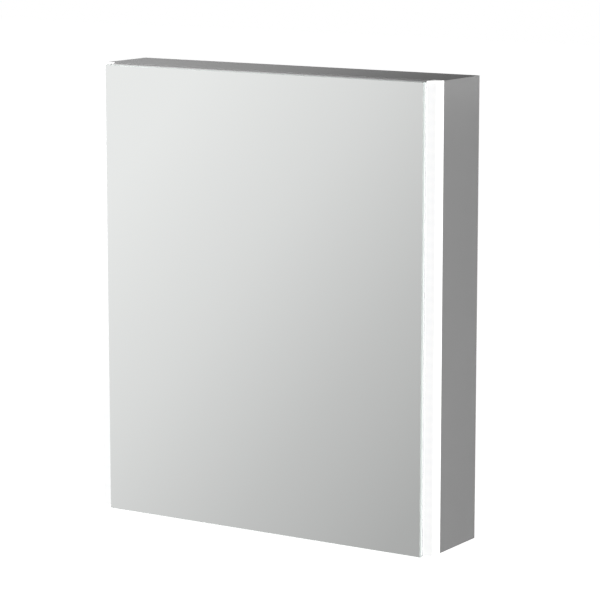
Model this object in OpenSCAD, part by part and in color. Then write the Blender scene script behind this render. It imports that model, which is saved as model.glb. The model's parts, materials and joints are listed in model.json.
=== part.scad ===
// Wall-hung mirror cabinet with one mirrored door between two light strips.
// X runs to the right, Y to the wall, Z up. The origin is on the wall, midway between the rail's two screws.

/* [Carcass] */
// Width over the side panels
cabinet_w = 600; // [480:5:900]
// Height of the carcass
carcass_h = 696; // [620:1:900]
// Depth of the carcass without the door
carcass_d = 105.4; // [104:0.1:160]
// Thickness of the side, top and bottom panels
panel_t = 16; // [15:0.5:17]
// Thickness of the back panel
back_t = 4; // [3:0.5:6]
// Free depth behind the back panel
back_recess = 16; // [15:0.5:20]
// Depth of the groove that holds the back panel
groove_d = 6; // [3:0.5:8]
// Clearance of the back panel in its groove
groove_clear = 0.2; // [0.1:0.05:0.3]

/* [Light strips] */
// Width of a strip seen from the front
strip_w = 17; // [16.5:0.5:22]
// Distance of the strip's face behind the mirror's face
strip_back = 6; // [5:0.5:8]
// How far the strips and the door reach below the carcass
strip_below = 3.5; // [2:0.5:6]
// How far the strips reach above the carcass
strip_above = 0.5; // [0.5:0.5:3]
// Wall of the opal diffuser
diffuser_t = 2; // [1.5:0.1:2.4]
// Rounding of the diffuser's outer corner
diffuser_r = 1.2; // [0.8:0.1:1.4]
// Wall of the aluminium profile
profile_t = 1.6; // [1.4:0.1:2.2]
// Thickness of an end cap's plate
cap_t = 2; // [1.5:0.1:3]
// Width of the LED board
board_w = 8; // [6:0.5:9]
// Thickness of the LED board
board_t = 1.2; // [1:0.1:1.6]

/* [Door] */
// Thickness of the front mirror
mirror_t = 5; // [4:0.5:6]
// Width of the bevel along the mirror's edges
mirror_bevel = 0.8; // [0.5:0.1:1.5]
// Thickness of the door core
core_t = 16; // [15.5:0.5:19]
// How far the core's edges lie inside the mirror's edges
core_inset = 0.5; // [0.3:0.1:1]
// Thickness of the rear mirror
rear_mirror_t = 3; // [2.5:0.5:4]
// Margin of the rear mirror at the free edge, top and bottom
rear_margin = 20; // [14:1:30]
// Gap between the rear mirror and the carcass
door_gap = 2.6; // [2:0.1:3]
// Gap between the mirror's edge and each strip
reveal = 1.5; // [1.5:0.1:3]
// Gap between the mirror's top edge and the top of the strips
top_gap = 1.5; // [1:0.1:3]
// Depth of the finger pull along the core's lower rear edge
pull_d = 8; // [5:0.5:10]
// Height of the finger pull
pull_h = 10; // [7:0.5:10]

/* [Hinges] */
// Radius of the cup
cup_r = 17.5; // [17.5:0.1:18]
// Depth of the cup in the core
cup_depth = 12.8; // [12.6:0.1:13.4]
// Wall of the cup
cup_wall = 1.2; // [1:0.1:1.3]
// Distance of the cup from the mirror's edge
cup_edge = 3.6; // [3.6:0.1:4]
// Distance of the outer hinges from the door's ends
hinge_end = 90; // [80:1:120]
// Radius of the hinge pins
pin_r = 1.25; // [1.1:0.05:1.3]
// Running clearance of a pin in a link
pin_clear = 0.05; // [0.03:0.01:0.08]
// Clearance at the pivot where the linkage is opened
open_clear = 0.55; // [0.5:0.05:0.6]
// Distance of the mounting plate's screws behind the carcass edge
plate_back = 37; // [37:1:40]
// Distance between the two screws of a mounting plate
plate_pitch = 32; // [28:1:40]

/* [Shelves] */
// Thickness of a glass shelf
shelf_t = 5; // [4:0.5:8]
// Gap between a shelf and each side panel
shelf_clear = 1.5; // [1:0.5:3]
// Distance of a shelf's front edge behind the carcass edge
shelf_front = 14; // [12:1:30]
// Radius of a shelf support's pin
support_r = 2.5; // [2:0.1:3]
// Step between the holes for the shelf supports
hole_step = 32; // [25:1:40]

/* [Wall fixing] */
// Distance of the rail's screws below the top of the strips
rail_drop = 60; // [58:1:70]
// Distance of the rail's ends from the side panels
rail_end = 6; // [4:0.5:8]
// Thickness of the rail's steel
rail_t = 2; // [1.5:0.1:2.2]
// Distance between the rail's two wall screws
rail_pitch = 440; // [300:5:440]
// Radius of the rail's screw holes
rail_hole_r = 3.2; // [2.5:0.1:4]
// Radius of the hangers' dowels
dowel_r = 3.4; // [2.5:0.1:3.4]

/* [Electrics] */
// Length of the driver's cover
cover_l = 250; // [230:5:260]
// Depth of the driver's cover
cover_d = 56; // [50:1:60]
// Height of the driver's cover
cover_h = 36; // [34:0.5:44]
// Length of the LED driver
driver_l = 150; // [100:5:160]
// Radius of the cable hole in the grommet
grommet_r = 4.5; // [3:0.5:5]

/* [Hidden] */
$fn = 48;
cut = 1;

// Overall sizes and levels
total_d = carcass_d + door_gap + rear_mirror_t + core_t + mirror_t;
half_w = cabinet_w / 2;
top_z = rail_drop;
carcass_top = top_z - strip_above;
carcass_bottom = carcass_top - carcass_h;
bottom_z = carcass_bottom - strip_below;
inner_x = half_w - panel_t;
inner_top = carcass_top - panel_t;
inner_bottom = carcass_bottom + panel_t;
inner_h = inner_top - inner_bottom;
back_front = -(back_recess + back_t);

// Light strip section, measured from the side face and from the mirror's face
strip_rear = total_d - carcass_d;
diffuser_seat = diffuser_t + groove_clear;
guide_x = (diffuser_seat + strip_w - profile_t - board_w) / 2;
board_back = strip_rear - profile_t;
guide_t = 0.8;
guide_lip = 0.6;
guide_clear = 0.1;
leg_t = 1.2;
leg_d = 3;
chip = 3;
chip_h = 0.8;
chip_step = 16;
plug_h = 4;
plug_gap = 1;
plug_front = 4;
plug_behind = 3;
board_end = 2;

// Door sizes
mirror_x = half_w - strip_w - reveal;
mirror_top = top_z - top_gap;
core_back = -total_d + mirror_t + core_t;
rear_hinge_margin = 46;
rear_corner_r = 4;
buffer_r = 3.5;
buffer_gap = 0.3;
buffer_end_gap = 0.5;
buffer_inset = 40;
core_relief = 1.5;
pull_lip = 3.5;

// Shelf levels: the room is shared out evenly
shelf_count = 2;
shelf_room = (inner_h - shelf_count * shelf_t) / (shelf_count + 1);
function shelf_z(i) = inner_bottom + (i + 1) * shelf_room + i * shelf_t;
shelf_d = carcass_d + back_front - shelf_front - shelf_clear;
shelf_corner_r = 6;
support_inset = 12;
support_len = 8;
support_clear = 0.05;
support_reach = 9;
collar_rim = 1.5;
collar_t = 0.8;
tongue_w = 10;
tongue_t = 1.8;
tongue_r = 2;
rib_t = 2;
rib_toe = 1.5;

// Hinge levels: both ends and the middle
hinge_count = 3;
function hinge_z(i) = bottom_z + hinge_end + i * (mirror_top - bottom_z - 2 * hinge_end) / (hinge_count - 1);

// Hinge plan. The datum is the mirror's edge and the core's back, x to the right and y to the wall.
// The door turns 95 degrees and the long link turns back by half of that. The short links turn back by
// 83.8 degrees. Their pivot in the cup drifts by less than 0.45 mm, which its wider eye takes up.
long_arm_pivot = [31, 27.7];
long_cup_pivot = [7.6, 1];
long_elbow = [39, 10];
short_arm_pivot = [24, 5.8];
short_cup_pivot = [9.6, -2.6];
short_elbows = [[12, -8.2], [22.5, -6.5]];
wall_x = panel_t - strip_w - reveal;
edge_y = rear_mirror_t + door_gap;
cup_x = cup_edge + cup_r;
cup_floor = cup_wall - cup_depth;
eye_r = 2.4;
wide_eye_r = 2.9;
arm_eye_r = 2.8;
long_bar_w = 2.8;
short_bar_w = 2;
bend_extra = 0.1;

// Lanes of the hinge across its height, each as the half distance from the middle
long_half = 1.4;
lug_in = 1.7;
lug_out = 3;
short_in = 3.4;
short_out = 5.2;
cheek_in = 5.6;
cheek_out = 7;
rivet_h = 0.8;
rivet_rim = 0.8;

// Mounting plate and arm
plate_t = 2.5;
plate_y = edge_y + plate_back;
plate_rim = 6;
plate_corner_r = 3;
tail_front = 8;
tail_rim = 2;
block_h = 6;
block_w = 9.6;
block_front = 1;
block_end = 30;
arm_steel = 1.4;
arm_w = 11.5;
arm_front = 2;
arm_l = 38;
arm_foot = [wall_x + plate_t, plate_y - arm_front];
arm_foot_cut = 4;
arm_neck_w = 5.6;
arm_root_w = 6;
short_boss_r = 3.4;
long_boss_r = 4;
arm_screw_first = 8;
arm_screw_gap = 18;
arm_screw_short = 0.5;

// Cup flange and its screws
flange_t = 1.2;
flange_rim = 0.9;
wing_in = 3;
wing_end = 5;
wing_r = 4;
notch_clear = 0.4;
notch_reach = 7;
cheek_reach = 6;
cup_pin_end = 2.5;
cup_screw_x = 9.5;
cup_screw_z = 24;

// Screws
screw_r = 1.9;
head_r = 3.6;
head_h = 2;
screw_clear = 0.05;
slot_rim = 1.6;
slot_w = 0.8;
slot_depth = 1;
plate_screw_l = 13;
cup_screw_l = 10;
cover_screw_l = 9;
pilot_spare = 1.5;
join = 0.5;

// Rail and hangers
rail_w = 2 * (inner_x - rail_end);
rail_low = 14;
rail_high = 16;
rail_jog = 6;
lip_h = 12;
hook_t = 1.8;
plate_steel = 0.8;
hanger_w = 34;
hanger_h = 56;
hanger_t = 7;
hanger_low = 14;
dowel_len = 11;
dowel_end = 10;
hanger_screw_r = 2.5;
hanger_screw_gap = 14;
hanger_screw_drop = 6;
hanger_head_r = 4.2;
hanger_head_h = 1.6;
hook_w = 16;
hook_gap = 0.2;
hook_foot = 12;
hook_tip_gap = 1;
lip_top = rail_high - rail_t + lip_h;
access_r = 5;
lid_rim = 5;
lid_t = 2;
lid_r = 3;
spacer_r = 8;
spacer_rim = 3;
spacer_inset = 30;

// Electrics
cover_t = 1.5;
cover_end = 30;
cover_screw_left = 20;
cover_screw_right = 50;
flange_d = 8;
vent_count = 8;
vent_step = 10;
vent_w = 4;
vent_start = 30;
vent_end = 12;
driver_w = 30;
driver_h = 20;
driver_gap = 8;
driver_inset = 12;
ear_l = 8;
ear_t = 2;
ear_end = 4;
ear_hole_r = 1.6;
terminal_count = 3;
terminal_pitch = 9;
terminal_d = 16;
terminal_h = 14;
terminal_gap = 14;
terminal_screw_r = 2;
terminal_wire_r = 1.6;
terminal_entry = 6;
grommet_flange_r = 9.2;
grommet_neck_r = 6.8;
grommet_lip = 1.5;
grommet_gap = 0.3;
switch_inset = 24;
switch_drop = 1;
rocker_w = 11;
rocker_h = 20;
rocker_gap = 0.5;
rocker_face = 5.3;
rocker_back = 2;
rocker_keel = 5;
rocker_keel_h = 8;
rocker_tilt = 8;
rocker_pivot_r = 1.2;
rocker_pivot_y = 4;
rocker_pivot_l = 0.8;
bezel = 2;
bezel_t = 1.5;
frame_wall = 0.9;
frame_d = 14;
frame_floor = 1;
frame_clear = 0.1;

// A box from its low corner to its high corner.
module box(low, high) {
    translate(low) cube(high - low);
}

// A bar with square ends between two points of a plan.
module flat_bar(p, q, w) {
    translate(p) rotate(atan2(q.y - p.y, q.x - p.x)) translate([0, -w / 2]) square([norm(q - p), w]);
}

// A bar with round ends.
module bar(p, q, w) {
    translate(p) circle(d = w);
    translate(q) circle(d = w);
    flat_bar(p, q, w);
}

// A bar with square ends and slightly fuller bends that follows several points of a plan.
module bent_bar(points, w) {
    for (i = [0 : len(points) - 2]) flat_bar(points[i], points[i + 1], w);
    for (i = [1 : len(points) - 2]) translate(points[i]) circle(w / 2 + bend_extra);
}

// A bore through all lanes at one point of the plan.
module bore(p, r) {
    translate([p.x, p.y, -cheek_out - 2 * cut]) cylinder(r = r, h = 2 * (cheek_out + 2 * cut));
}

// A rectangle with round corners, in a plan.
module round_rect(low, high, r) {
    translate([low.x + r, low.y]) square([high.x - low.x - 2 * r, high.y - low.y]);
    translate([low.x, low.y + r]) square([high.x - low.x, high.y - low.y - 2 * r]);
    for (x = [low.x + r, high.x - r], y = [low.y + r, high.y - r]) translate([x, y]) circle(r);
}

// A layer between two heights, above and below the middle.
module both_lanes(inner, outer) {
    for (s = [0, 1]) mirror([0, 0, s]) translate([0, 0, inner]) linear_extrude(outer - inner) children();
}

// A layer that spans the middle.
module lane(half) {
    translate([0, 0, -half]) linear_extrude(2 * half) children();
}

// A crossed recess at the middle of a screw head's face.
module cross_slot(head) {
    for (a = [0, 90]) rotate(a)
        cube([2 * (head - slot_rim), slot_w, 2 * slot_depth], center = true);
}

// A pan-head screw. Its head stands on the face at the origin and its shank points down.
module screw(shank_r, shank_l, head, height) {
    difference() {
        union() {
            translate([0, 0, -shank_l]) cylinder(r = shank_r, h = shank_l + join);
            cylinder(r = head, h = height);
        }
        translate([0, 0, height]) cross_slot(head);
    }
}

// A round rod along Y from one depth to another.
module rod_y(x, z, r, from, to) {
    translate([x, from, z]) rotate([-90, 0, 0]) cylinder(r = r, h = to - from);
}

// A round rod along X from one place to another.
module rod_x(y, z, r, from, to) {
    translate([from, y, z]) rotate([0, 90, 0]) cylinder(r = r, h = to - from);
}

// Carcass

module back_groove() {
    box([-inner_x - groove_d, back_front - groove_clear, inner_bottom - groove_d],
        [inner_x + groove_d, -back_recess + groove_clear, inner_top + groove_d]);
}

module board(outline) {
    difference() {
        rotate([90, 0, 0]) linear_extrude(carcass_d) polygon(outline);
        back_groove();
    }
}

// Places for the supports of both shelves, front and back, with one spare hole above and below each.
module at_supports(spare) {
    front = -carcass_d + shelf_front + support_inset;
    rear = back_front - support_inset;
    for (i = [0 : shelf_count - 1], y = [front, rear], k = [-spare : spare])
        translate([0, y, shelf_z(i) - support_r + k * hole_step]) children();
}

module side_blank() {
    difference() {
        board([[-half_w, carcass_bottom], [-half_w, carcass_top],
            [-inner_x, inner_top], [-inner_x, inner_bottom]]);
        at_supports(1)
            rod_x(0, 0, support_r + support_clear, -inner_x - support_len - support_clear, -inner_x + cut);
        for (z = hanger_dowels())
            rod_x(hanger_mid, z, dowel_r + screw_clear, -inner_x - dowel_len - cut / 2, -inner_x + cut);
    }
}

module side_panel_left() {
    color("darkgray") difference() {
        side_blank();
        for (i = [0 : hinge_count - 1], s = [-1, 1]) at_hinge(i)
            rod_x(plate_y, s * plate_pitch / 2, screw_r + screw_clear,
                wall_x + plate_t - plate_screw_l - pilot_spare, wall_x + cut);
    }
}

module side_panel_right() {
    color("darkgray") mirror([1, 0, 0]) side_blank();
}

module top_panel() {
    color("darkgray") difference() {
        board([[-half_w, carcass_top], [half_w, carcass_top],
            [inner_x, inner_top], [-inner_x, inner_top]]);
        at_cover_screws() translate([0, 0, -cut])
            cylinder(r = screw_r + screw_clear, h = cover_screw_l + pilot_spare + cut);
    }
}

module bottom_panel() {
    color("darkgray")
        board([[-half_w, carcass_bottom], [half_w, carcass_bottom],
            [inner_x, inner_bottom], [-inner_x, inner_bottom]]);
}

module back_panel() {
    reach = groove_d - groove_clear;
    color("gainsboro") difference() {
        box([-inner_x - reach, back_front, inner_bottom - reach],
            [inner_x + reach, -back_recess, inner_top + reach]);
        rod_y(grommet_x, grommet_z, grommet_neck_r, back_front - cut, -back_recess + cut);
        for (s = [-1, 1], z = hanger_screw_levels())
            rod_y(s * hanger_screw_x, z, access_r, back_front - cut, -back_recess + cut);
    }
}

// Shelves

module glass_shelf(i) {
    color("lightblue", 0.4) translate([0, 0, shelf_z(i)]) linear_extrude(shelf_t) intersection() {
        round_rect([-inner_x + shelf_clear, back_front - shelf_clear - shelf_d],
            [inner_x - shelf_clear, back_front + shelf_d], shelf_corner_r);
        translate([-half_w, back_front - shelf_clear - shelf_d]) square([cabinet_w, shelf_d]);
    }
}

// A pin in the side panel, a collar against it and a flat tongue under the shelf with a rib below.
module shelf_support() {
    rib_h = 2 * support_r - tongue_t;
    rod_x(0, 0, support_r, -inner_x - support_len, -inner_x + join);
    rod_x(0, 0, support_r + collar_rim, -inner_x, -inner_x + collar_t);
    translate([-inner_x, 0, support_r - tongue_t]) linear_extrude(tongue_t)
        round_rect([0, -tongue_w / 2], [support_reach, tongue_w / 2], tongue_r);
    translate([-inner_x, rib_t / 2, -support_r]) rotate([90, 0, 0]) linear_extrude(rib_t)
        polygon([[0, 0], [rib_toe, 0], [support_reach - tongue_r, rib_h], [0, rib_h]]);
}

module shelf_supports() {
    color("silver") for (s = [0, 1]) mirror([s, 0, 0]) at_supports(0) shelf_support();
}

// Light strips, drawn for the left side

module strip_place() {
    translate([-half_w, -total_d, 0]) children();
}

// A section drawn out between the two end caps.
module strip_length() {
    translate([0, 0, bottom_z + cap_t]) linear_extrude(top_z - bottom_z - 2 * cap_t) children();
}

// Back wall against the carcass edge, inner wall beside the door and two guides for the LED board.
module light_profile() {
    inner = strip_w - profile_t;
    color("silver") strip_place() strip_length() {
        translate([diffuser_seat, board_back]) square([strip_w - diffuser_seat, profile_t]);
        translate([inner, strip_back + diffuser_t]) square([profile_t, strip_rear - strip_back - diffuser_t]);
        for (x = [guide_x - guide_t - guide_clear, guide_x + board_w + guide_clear])
            translate([x, board_back - board_t - guide_lip]) square([guide_t, board_t + guide_lip]);
    }
}

// Circuit board with a row of light chips.
module led_board() {
    low = bottom_z + cap_t + plug_h + board_end;
    high = top_z - cap_t - plug_h - board_end;
    middle = guide_x + board_w / 2;
    color("white") strip_place() {
        box([guide_x, board_back - board_t, low], [guide_x + board_w, board_back, high]);
        for (z = [low + chip_step / 2 : chip_step : high - chip])
            box([middle - chip / 2, board_back - board_t - chip_h, z],
                [middle + chip / 2, board_back - board_t, z + chip]);
    }
}

// Outline of the strip seen from above, with its rounded outer corner.
module strip_outline() {
    translate([diffuser_r, strip_back]) square([strip_w - diffuser_r, strip_rear - strip_back]);
    translate([0, strip_back + diffuser_r]) square([strip_w, strip_rear - strip_back - diffuser_r]);
    translate([diffuser_r, strip_back + diffuser_r]) circle(diffuser_r);
}

// Opal L profile: front wall, outer side wall and a leg behind the aluminium wall.
module diffuser() {
    color("white") strip_place() strip_length() {
        difference() {
            strip_outline();
            translate([diffuser_t, strip_back + diffuser_t]) square([strip_w, strip_rear]);
        }
        translate([strip_w - profile_t - groove_clear - leg_t, strip_back])
            square([leg_t, diffuser_t + leg_d]);
    }
}

// Plates that close the strips, each with a plug inside the profile.
module strip_cap() {
    front = strip_back + diffuser_t + plug_front;
    width = strip_w - profile_t - diffuser_seat - 2 * plug_gap;
    depth = board_back - board_t - plug_behind - front;
    strip_place() {
        translate([0, 0, bottom_z]) linear_extrude(cap_t) strip_outline();
        translate([0, 0, bottom_z]) linear_extrude(cap_t + plug_h)
            translate([diffuser_seat + plug_gap, front]) square([width, depth]);
    }
}

module strip_caps() {
    color("white") for (s = [0, 1]) mirror([s, 0, 0]) {
        strip_cap();
        translate([0, 0, top_z + bottom_z]) mirror([0, 0, 1]) strip_cap();
    }
}

// Wall fixing

hanger_mid = -back_recess + hanger_t / 2;
hanger_screw_x = inner_x - hanger_w / 2;
hanger_screw_z = lip_top - hanger_screw_drop;
function hanger_screw_levels() = [hanger_screw_z - hanger_screw_gap, hanger_screw_z];
function hanger_dowels() = [-hanger_low + dowel_end, -hanger_low + hanger_h - dowel_end];

// Rail on the wall: a plate, a step forward and an upright lip for the hooks.
module wall_rail() {
    color("silver") difference() {
        translate([-rail_w / 2, 0, 0]) rotate([90, 0, 90]) linear_extrude(rail_w) {
            translate([-rail_t, -rail_low]) square([rail_t, rail_low + rail_high]);
            translate([-rail_jog - rail_t, rail_high - rail_t]) square([rail_jog + rail_t, rail_t]);
            translate([-rail_jog - rail_t, rail_high - rail_t]) square([rail_t, lip_h]);
        }
        for (s = [-1, 1]) rod_y(s * rail_pitch / 2, 0, rail_hole_r, -rail_t - cut, cut);
    }
}

// Hanger body behind the back panel, held in the side panel by two dowels, with a slot for the hook.
module hanger() {
    color("whitesmoke") difference() {
        union() {
            box([-inner_x, -back_recess, -hanger_low],
                [-inner_x + hanger_w, -back_recess + hanger_t, hanger_h - hanger_low]);
            for (z = hanger_dowels()) rod_x(hanger_mid, z, dowel_r, -inner_x - dowel_len, -inner_x + join);
        }
        for (z = hanger_screw_levels())
            rod_y(-hanger_screw_x, z, hanger_screw_r + screw_clear, -back_recess - cut, 0);
    }
}

module hanger_left() {
    hanger();
}

module hanger_right() {
    mirror([1, 0, 0]) hanger();
}

// Bent steel hook: a plate on the hanger and a tongue that drops behind the rail's lip.
module hanger_hook() {
    front = -back_recess + hanger_t;
    tongue = -(rail_t + rail_jog) / 2;
    low = lip_top - hanger_screw_gap - hook_foot;
    difference() {
        translate([-hanger_screw_x - hook_w / 2, 0, 0]) rotate([90, 0, 90]) linear_extrude(hook_w) {
            translate([front, low]) square([plate_steel, lip_top + hook_gap + hook_t - low]);
            translate([front, lip_top + hook_gap]) square([tongue + hook_t / 2 - front, hook_t]);
            translate([tongue - hook_t / 2, rail_high + hook_tip_gap])
                square([hook_t, lip_top + hook_gap + hook_t - rail_high - hook_tip_gap]);
        }
        for (z = hanger_screw_levels())
            rod_y(-hanger_screw_x, z, hanger_screw_r + screw_clear, -back_recess, tongue - hook_t);
    }
}

module hanger_hooks() {
    color("silver") for (s = [0, 1]) mirror([s, 0, 0]) hanger_hook();
}

module hanger_screws() {
    color("silver") for (s = [-1, 1], z = hanger_screw_levels())
        translate([s * hanger_screw_x, -back_recess, z]) rotate([90, 0, 0])
            screw(hanger_screw_r, hanger_t + plate_steel, hanger_head_r, hanger_head_h);
}

// Caps inside the cabinet over the openings to the hanger screws.
module hanger_covers() {
    half = access_r + lid_rim;
    low = hanger_screw_z - hanger_screw_gap - half;
    high = min(hanger_screw_z + half, inner_top);
    color("white") for (s = [-1, 1]) translate([s * hanger_screw_x, back_front, 0]) rotate([90, 0, 0])
        linear_extrude(lid_t) round_rect([-half, low], [half, high], lid_r);
}

// Round spacers that keep the cabinet's foot parallel to the wall.
module wall_spacers() {
    x = inner_x - spacer_inset;
    z = inner_bottom + spacer_inset;
    color("white") for (s = [-1, 1]) {
        rod_y(s * x, z, spacer_r, -back_recess, 0);
        rod_y(s * x, z, spacer_r + spacer_rim, -back_recess, -back_recess + spacer_rim);
    }
}

// Electrics

cover_right = inner_x - cover_end;
cover_left = cover_right - cover_l;
cover_front = back_front - cover_d;
cover_low = inner_top - cover_h;
switch_x = cover_right - switch_inset;
switch_z = cover_low + cover_h / 2 - switch_drop;
grommet_x = switch_x;
grommet_z = inner_top - grommet_flange_r - grommet_gap;

module at_cover_screws() {
    for (x = [cover_left + cover_screw_left, cover_right - cover_screw_right])
        translate([x, cover_front - flange_d / 2, inner_top]) children();
}

// Sheet cover under the top panel: floor with vents, front, both ends and a flange for its screws.
module driver_cover() {
    frame_rim = rocker_gap + frame_wall + frame_clear;
    color("white") difference() {
        union() {
            box([cover_left, cover_front, cover_low], [cover_right, back_front, inner_top]);
            box([cover_left, cover_front - flange_d, inner_top - cover_t],
                [cover_right, cover_front + cut, inner_top]);
        }
        box([cover_left + cover_t, cover_front + cover_t, cover_low + cover_t],
            [cover_right - cover_t, back_front + cut, inner_top + cut]);
        translate([switch_x, cover_front, switch_z])
            cube([rocker_w + 2 * frame_rim, 4 * cover_t, rocker_h + 2 * frame_rim], center = true);
        at_cover_screws() cylinder(r = screw_r + screw_clear, h = 4 * cover_t, center = true);
        for (i = [0 : vent_count - 1])
            translate([cover_left + vent_start + i * vent_step, cover_front + vent_end, cover_low - cut])
                cube([vent_w, cover_d - 2 * vent_end, cover_t + 2 * cut]);
    }
}

module cover_screws() {
    color("silver") at_cover_screws() translate([0, 0, -cover_t]) rotate([180, 0, 0])
        screw(screw_r, cover_t + cover_screw_l, head_r, head_h);
}

// LED driver on the back panel, inside the cover.
module led_driver() {
    low = [cover_left + driver_inset, back_front - driver_w, inner_top - driver_gap - driver_h];
    color("white") difference() {
        union() {
            box(low, [low.x + driver_l, back_front, low.z + driver_h]);
            box([low.x - ear_l, back_front - ear_t, low.z + ear_end],
                [low.x + driver_l + ear_l, back_front, low.z + driver_h - ear_end]);
        }
        for (x = [low.x - ear_l / 2, low.x + driver_l + ear_l / 2])
            rod_y(x, low.z + driver_h / 2, ear_hole_r, back_front - ear_t - cut, back_front + cut);
    }
}

// Block with a screw hole and a wire entry for each pole.
module terminal_block() {
    left = cover_left + driver_inset + driver_l + terminal_gap;
    base = inner_top - driver_gap - driver_h;
    front = back_front - terminal_d;
    color("ivory") difference() {
        box([left, front, base], [left + terminal_count * terminal_pitch, back_front, base + terminal_h]);
        for (i = [0 : terminal_count - 1]) {
            x = left + (i + 0.5) * terminal_pitch;
            translate([x, front + terminal_d / 2, base - cut])
                cylinder(r = terminal_screw_r, h = terminal_h + 2 * cut);
            rod_y(x, base + terminal_h / 2, terminal_wire_r, front - cut, front + terminal_entry);
        }
    }
}

// Rubber ring in the back panel, where the mains lead comes in.
module cable_grommet() {
    color("dimgray") difference() {
        union() {
            rod_y(grommet_x, grommet_z, grommet_neck_r, back_front - grommet_lip, -back_recess + grommet_lip);
            rod_y(grommet_x, grommet_z, grommet_flange_r, back_front - grommet_lip, back_front);
            rod_y(grommet_x, grommet_z, grommet_flange_r, -back_recess, -back_recess + grommet_lip);
        }
        rod_y(grommet_x, grommet_z, grommet_r, back_front - grommet_lip - cut, 0);
    }
}

module switch_frame() {
    w = rocker_w / 2 + rocker_gap;
    h = rocker_h / 2 + rocker_gap;
    wall = frame_wall;
    color("white") translate([switch_x, cover_front, switch_z]) difference() {
        union() {
            box([-w - bezel, -bezel_t, -h - bezel], [w + bezel, 0, h + bezel]);
            box([-w - wall, -bezel_t, -h - wall], [w + wall, frame_d, h + wall]);
        }
        box([-w, -bezel_t - cut, -h], [w, frame_d - frame_floor, h]);
        rod_x(rocker_pivot_y, 0, rocker_pivot_r + pin_clear, -w - wall - cut, w + wall + cut);
    }
}

// Rocker with two flat faces that meet in the middle, tilted to its lit position, and a pivot at each side.
module switch_rocker() {
    end = rocker_h / 2 - rocker_gap;
    rise = rocker_face + end * tan(rocker_tilt);
    keel = rocker_keel_h / 2;
    side = rocker_w / 2 + rocker_gap + rocker_pivot_l;
    color("white") translate([switch_x, cover_front + rocker_pivot_y, switch_z]) rotate([rocker_tilt, 0, 0]) {
        rotate([90, 0, 90]) translate([0, 0, -rocker_w / 2]) linear_extrude(rocker_w)
            polygon([[rocker_back, -end], [-rise, -end], [-rocker_face, 0], [-rise, end],
                [rocker_back, end], [rocker_keel, keel], [rocker_keel, -keel]]);
        rod_x(0, 0, rocker_pivot_r, -side, side);
    }
}

// Hinges

module at_hinge(i) {
    translate([-mirror_x, core_back, hinge_z(i)]) children();
}

// Wing plate on the side panel with the block that the arm sits over.
module hinge_plate(i) {
    color("silver") at_hinge(i) difference() {
        union() {
            translate([wall_x, 0, 0]) rotate([90, 0, 90]) linear_extrude(plate_t) {
                round_rect([plate_y - plate_rim, -plate_pitch / 2 - plate_rim],
                    [plate_y + plate_rim, plate_pitch / 2 + plate_rim], plate_corner_r);
                round_rect([plate_y - tail_front, -block_w / 2 - tail_rim],
                    [plate_y + block_end + tail_rim, block_w / 2 + tail_rim], tail_rim);
            }
            box([wall_x, plate_y - block_front, -block_w / 2],
                [wall_x + plate_t + block_h, plate_y + block_end, block_w / 2]);
        }
        for (s = [-1, 1])
            rod_x(plate_y, s * plate_pitch / 2, screw_r + screw_clear, wall_x - cut, wall_x + plate_t + cut);
        for (y = arm_screw_places())
            rod_x(y, 0, screw_r + screw_clear, wall_x + plate_t, wall_x + plate_t + block_h + cut);
    }
}

function arm_screw_places() = [for (k = [0, 1]) plate_y + arm_screw_first + k * arm_screw_gap];

// Outline of one cheek of the arm: from both link pivots back to the mounting plate.
module arm_outline() {
    root = arm_foot + [arm_w - arm_root_w / 2, arm_root_w];
    translate(short_arm_pivot) circle(short_boss_r);
    translate(long_arm_pivot) circle(long_boss_r);
    bar(short_arm_pivot, long_arm_pivot, arm_neck_w);
    bar(long_arm_pivot, root, arm_root_w);
    translate(arm_foot)
        polygon([[0, arm_foot_cut], [arm_foot_cut, 0], [arm_w, 0], [arm_w, arm_l], [0, arm_l]]);
}

// Pressed steel arm: two cheeks and a web over the mounting plate.
module hinge_arm(i) {
    web_x = arm_foot.x + arm_w - arm_steel;
    color("silver") at_hinge(i) difference() {
        union() {
            both_lanes(cheek_in, cheek_out) arm_outline();
            lane(cheek_out) translate([web_x, plate_y]) square([arm_steel, arm_l - arm_front]);
        }
        for (p = [long_arm_pivot, short_arm_pivot]) bore(p, pin_r + screw_clear);
        for (y = arm_screw_places())
            rod_x(y, 0, screw_r + screw_clear, web_x - cut, web_x + arm_steel + cut);
    }
}

// Screws that hold each plate to the side panel.
module plate_screws() {
    color("silver") for (i = [0 : hinge_count - 1], s = [-1, 1]) at_hinge(i)
        panel_screw(plate_y, s * plate_pitch / 2, wall_x + plate_t, plate_screw_l);
}

// Screws through the arm's web into the plate's block.
module arm_screws() {
    color("silver") for (i = [0 : hinge_count - 1], y = arm_screw_places()) at_hinge(i)
        panel_screw(y, 0, arm_foot.x + arm_w, arm_w - arm_screw_short);
}

// A screw along X whose head stands on the face at x.
module panel_screw(y, z, x, shank_l) {
    translate([x, y, z]) rotate([0, 90, 0]) screw(screw_r, shank_l, head_r, head_h);
}

// Rivet pins of the arm: one through the long link and two stubs for the short links.
module arm_pins() {
    color("silver") for (i = [0 : hinge_count - 1]) at_hinge(i) {
        translate(long_arm_pivot) lane(cheek_out) circle(pin_r);
        translate(short_arm_pivot) both_lanes(short_in, cheek_out) circle(pin_r);
        for (p = [long_arm_pivot, short_arm_pivot])
            translate(p) both_lanes(cheek_out, cheek_out + rivet_h) circle(pin_r + rivet_rim);
    }
}

module long_link(i) {
    color("lightgray") at_hinge(i) difference() {
        union() {
            lane(long_half) {
                bent_bar([long_cup_pivot, long_elbow, long_arm_pivot], long_bar_w);
                translate(long_cup_pivot) circle(eye_r);
                translate(long_arm_pivot) circle(arm_eye_r);
            }
            translate(long_arm_pivot) lane(short_out) circle(arm_eye_r);
        }
        for (p = [long_cup_pivot, long_arm_pivot]) bore(p, pin_r + pin_clear);
    }
}

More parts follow.
